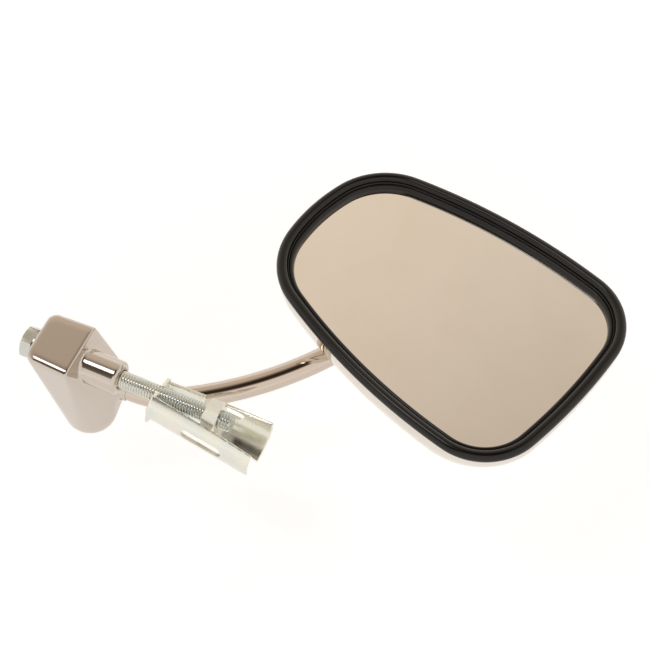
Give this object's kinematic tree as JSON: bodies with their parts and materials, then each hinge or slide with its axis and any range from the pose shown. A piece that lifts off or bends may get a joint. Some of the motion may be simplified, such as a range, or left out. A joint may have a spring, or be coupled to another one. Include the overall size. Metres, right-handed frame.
{
  "type": "bar-end mirror",
  "caption": "Bar-end motorcycle mirror: chromed bracket with expanding bolt clip, bent round stem and a ball-jointed tapered head with a black rim.",
  "frame": {"origin": "on the bolt's axis in the plane of the handlebar's end face, at the root of the bracket's spigot", "axes": "+X into the handlebar along the bolt, +Z the way the mirror and the bracket's flat top face, +Y towards the mirror head"},
  "size_m": [0.1817, 0.1209, 0.0558],
  "materials": {
    "cast_chrome": "bright chrome on zinc die casting",
    "rod_chrome": "bright chrome on steel rod",
    "shell_chrome": "bright chrome on pressed steel",
    "zinc_plate": "zinc plated, passivated",
    "small_steel": "plain steel",
    "nylon": "moulded nylon",
    "rim_rubber": "moulded, soft sheen",
    "mirror_glass": "silvered flat glass",
    "foam": "closed-cell foam sheet"
  },
  "bodies": {
    "bracket": {"bracket_body": "cast_chrome", "stem_grub_screw": "small_steel", "spring_washer": "small_steel"},
    "clip": {"expander_clip": "zinc_plate"},
    "bolt": {"expander_bolt": "zinc_plate"},
    "nut": {"expander_nut": "zinc_plate"},
    "stem": {"stem": "rod_chrome"},
    "cup": {"friction_cup": "nylon"},
    "pad": {"pressure_pad": "nylon"},
    "head": {"socket_plate": "zinc_plate", "retainer_plate": "zinc_plate", "socket_studs": "small_steel", "stud_washers": "small_steel", "stud_nuts": "zinc_plate", "back_shell": "shell_chrome", "rim_bezel": "rim_rubber", "mirror_glass": "mirror_glass", "glass_backing": "foam"}
  },
  "joints": [
    {"name": "clip_swivel", "type": "hinge", "parent": "bracket", "child": "clip", "pos_m": [0, 0, 0], "axis": [1, 0, 0], "range_deg": [-180, 180]},
    {"name": "bolt_turn", "type": "hinge", "parent": "clip", "child": "bolt", "pos_m": [0, 0, 0], "axis": [1, 0, 0], "range_deg": [-1080, 2160]},
    {"name": "nut_slide", "type": "slide", "parent": "clip", "child": "nut", "axis": [1, 0, 0], "range_m": [-0.0061, 0.0031]},
    {"name": "stem_swivel", "type": "hinge", "parent": "bracket", "child": "stem", "pos_m": [0, 0.0084, -0.0254], "axis": [1, 0, 0], "range_deg": [-30, 30]},
    {"name": "ball_tip", "type": "hinge", "parent": "stem", "child": "cup", "pos_m": [0.07823, 0.071, -0.00332], "axis": [0.3156, 0.9489, 0], "range_deg": [-10, 10]},
    {"name": "ball_pan", "type": "hinge", "parent": "cup", "child": "pad", "pos_m": [0.07823, 0.071, -0.00332], "axis": [0.948, -0.3154, 0.0419], "range_deg": [-10, 10]},
    {"name": "ball_spin", "type": "hinge", "parent": "pad", "child": "head", "pos_m": [0.07823, 0.071, -0.00332], "axis": [-0.0397, 0.0132, 0.9991], "range_deg": [-25, 25]}
  ],
  "couplings": [
    {"joint": "nut_slide", "follows": "bolt_turn", "m_per_rad": -0.00015915}
  ]
}
